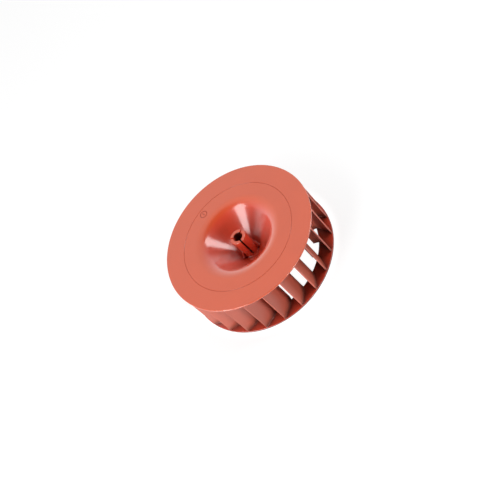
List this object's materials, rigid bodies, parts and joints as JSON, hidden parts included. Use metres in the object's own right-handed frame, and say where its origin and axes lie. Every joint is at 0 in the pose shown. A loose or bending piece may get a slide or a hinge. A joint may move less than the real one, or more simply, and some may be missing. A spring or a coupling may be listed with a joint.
{
  "type": "tumble dryer fan wheel",
  "caption": "Centrifugal fan wheel in orange-red moulded plastic: back disc with a dished centre and slotted clamp hub, hooked axial blades and a flat inlet ring.",
  "frame": {"origin": "on the wheel's axis, in the plane of the inlet ring's flat outer face, on which the wheel lies", "axes": "+Z along the axis from the inlet ring to the back disc and out of the open end of the hub tube; +X at 96.5 degrees anticlockwise from the first hub slot, seen from +Z"},
  "size_m": [0.17, 0.17, 0.0535],
  "materials": {
    "wheel_plastic": "orange-red moulded polypropylene, soft gloss, paler bloom on the flat back face",
    "ring_plastic": "the same orange-red polypropylene, a shade deeper between the blades"
  },
  "bodies": {
    "root": {"fan_wheel": "wheel_plastic", "inlet_ring": "ring_plastic"}
  },
  "joints": []
}
